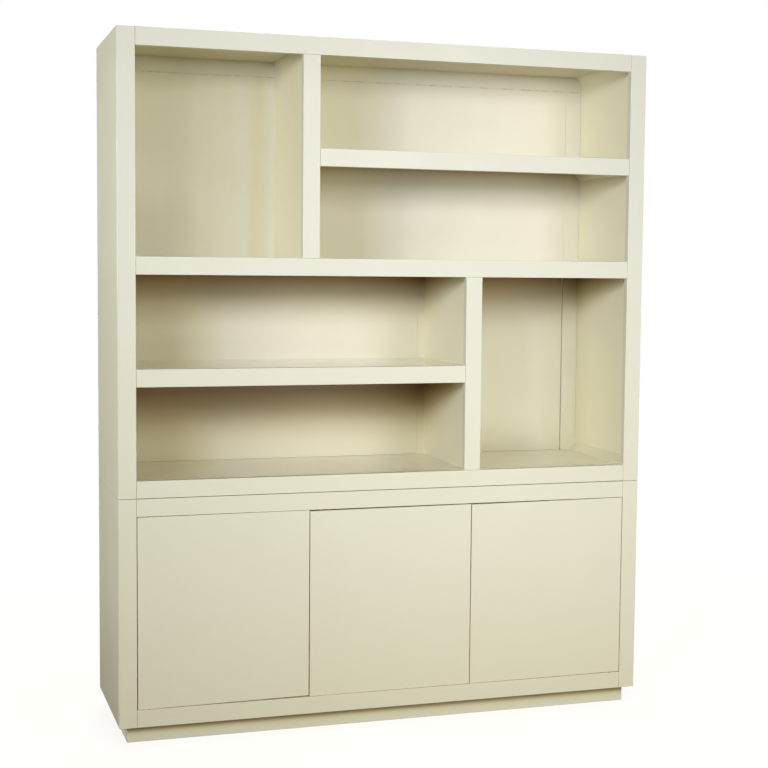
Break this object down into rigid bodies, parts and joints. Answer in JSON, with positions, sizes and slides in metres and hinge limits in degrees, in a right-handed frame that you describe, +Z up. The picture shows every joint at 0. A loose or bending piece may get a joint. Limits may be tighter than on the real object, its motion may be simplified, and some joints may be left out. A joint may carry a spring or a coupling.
{
  "type": "bookcase with cabinet doors",
  "caption": "Tall painted bookcase: staggered open compartments in a face-framed upper unit, standing on a base cabinet with flush push-to-open doors and a recessed plinth.",
  "frame": {"origin": "on the floor, under the middle of the bookcase", "axes": "+X to the right seen from the front, +Y from the doors to the back, +Z up"},
  "size_m": [1.6, 0.45, 2],
  "materials": {
    "painted_wood": "satin ivory paint on wood board",
    "painted_panel": "satin ivory paint on the framed back",
    "raw_sheet": "unpainted hardboard back sheet",
    "beech": "fluted beech dowel",
    "steel": "bright zinc plated steel",
    "brass": "turned brass",
    "latch_plastic": "moulded off-white plastic",
    "plunger_plastic": "moulded grey plastic"
  },
  "bodies": {
    "carcass": {"back_bottom_rail": "painted_panel", "back_middle_rail": "painted_panel", "back_muntins": "painted_panel", "back_panel_lower_left": "painted_panel", "back_panel_lower_right": "painted_panel", "back_panel_upper_left": "painted_panel", "back_panel_upper_right": "painted_panel", "back_stiles": "painted_panel", "back_top_rail": "painted_panel", "base_back_sheet": "raw_sheet", "base_bottom_board": "painted_wood", "base_bottom_rail": "painted_wood", "base_partition_left": "painted_wood", "base_partition_right": "painted_wood", "base_side_left": "painted_wood", "base_side_right": "painted_wood", "base_stile_left": "painted_wood", "base_stile_right": "painted_wood", "base_top_board": "painted_wood", "base_top_rail": "painted_wood", "corner_blocks": "painted_wood", "inner_shelf_left": "painted_wood", "inner_shelf_middle": "painted_wood", "inner_shelf_right": "painted_wood", "latch_housings": "latch_plastic", "locating_dowels": "beech", "lower_divider_board": "painted_wood", "lower_divider_post": "painted_wood", "lower_left_shelf_board": "painted_wood", "lower_left_shelf_edge": "painted_wood", "middle_shelf_board": "painted_wood", "middle_shelf_edge": "painted_wood", "pivot_bushes": "brass", "plinth_ends_and_back": "painted_wood", "plinth_front": "painted_wood", "shelf_pegs": "steel", "upper_bottom_board": "painted_wood", "upper_bottom_rail": "painted_wood", "upper_divider_board": "painted_wood", "upper_divider_post": "painted_wood", "upper_right_shelf_board": "painted_wood", "upper_right_shelf_edge": "painted_wood", "upper_side_left": "painted_wood", "upper_side_right": "painted_wood", "upper_stile_left": "painted_wood", "upper_stile_right": "painted_wood", "upper_top_board": "painted_wood", "upper_top_rail": "painted_wood"},
    "left_door": {"door_left": "painted_wood", "door_left_pivot_pins": "steel", "door_left_strike_plate": "steel"},
    "left_plunger": {"latch_plunger_left": "plunger_plastic"},
    "middle_door": {"door_middle": "painted_wood", "door_middle_pivot_pins": "steel", "door_middle_strike_plate": "steel"},
    "middle_plunger": {"latch_plunger_middle": "plunger_plastic"},
    "right_door": {"door_right": "painted_wood", "door_right_pivot_pins": "steel", "door_right_strike_plate": "steel"},
    "right_plunger": {"latch_plunger_right": "plunger_plastic"}
  },
  "joints": [
    {"name": "left_door_hinge", "type": "hinge", "parent": "carcass", "child": "left_door", "pos_m": [-0.716, -0.216, 0.375], "axis": [0, 0, -1], "range_deg": [0, 110]},
    {"name": "middle_door_hinge", "type": "hinge", "parent": "carcass", "child": "middle_door", "pos_m": [-0.217, -0.216, 0.375], "axis": [0, 0, -1], "range_deg": [0, 110]},
    {"name": "right_door_hinge", "type": "hinge", "parent": "carcass", "child": "right_door", "pos_m": [0.716, -0.216, 0.375], "axis": [0, 0, 1], "range_deg": [0, 110]},
    {"name": "left_plunger_press", "type": "slide", "parent": "carcass", "child": "left_plunger", "axis": [0, 1, 0], "range_m": [0, 0.003], "stiffness_N_per_m": 500, "springref_m": -0.004},
    {"name": "middle_plunger_press", "type": "slide", "parent": "carcass", "child": "middle_plunger", "axis": [0, 1, 0], "range_m": [0, 0.003], "stiffness_N_per_m": 500, "springref_m": -0.004},
    {"name": "right_plunger_press", "type": "slide", "parent": "carcass", "child": "right_plunger", "axis": [0, 1, 0], "range_m": [0, 0.003], "stiffness_N_per_m": 500, "springref_m": -0.004}
  ]
}
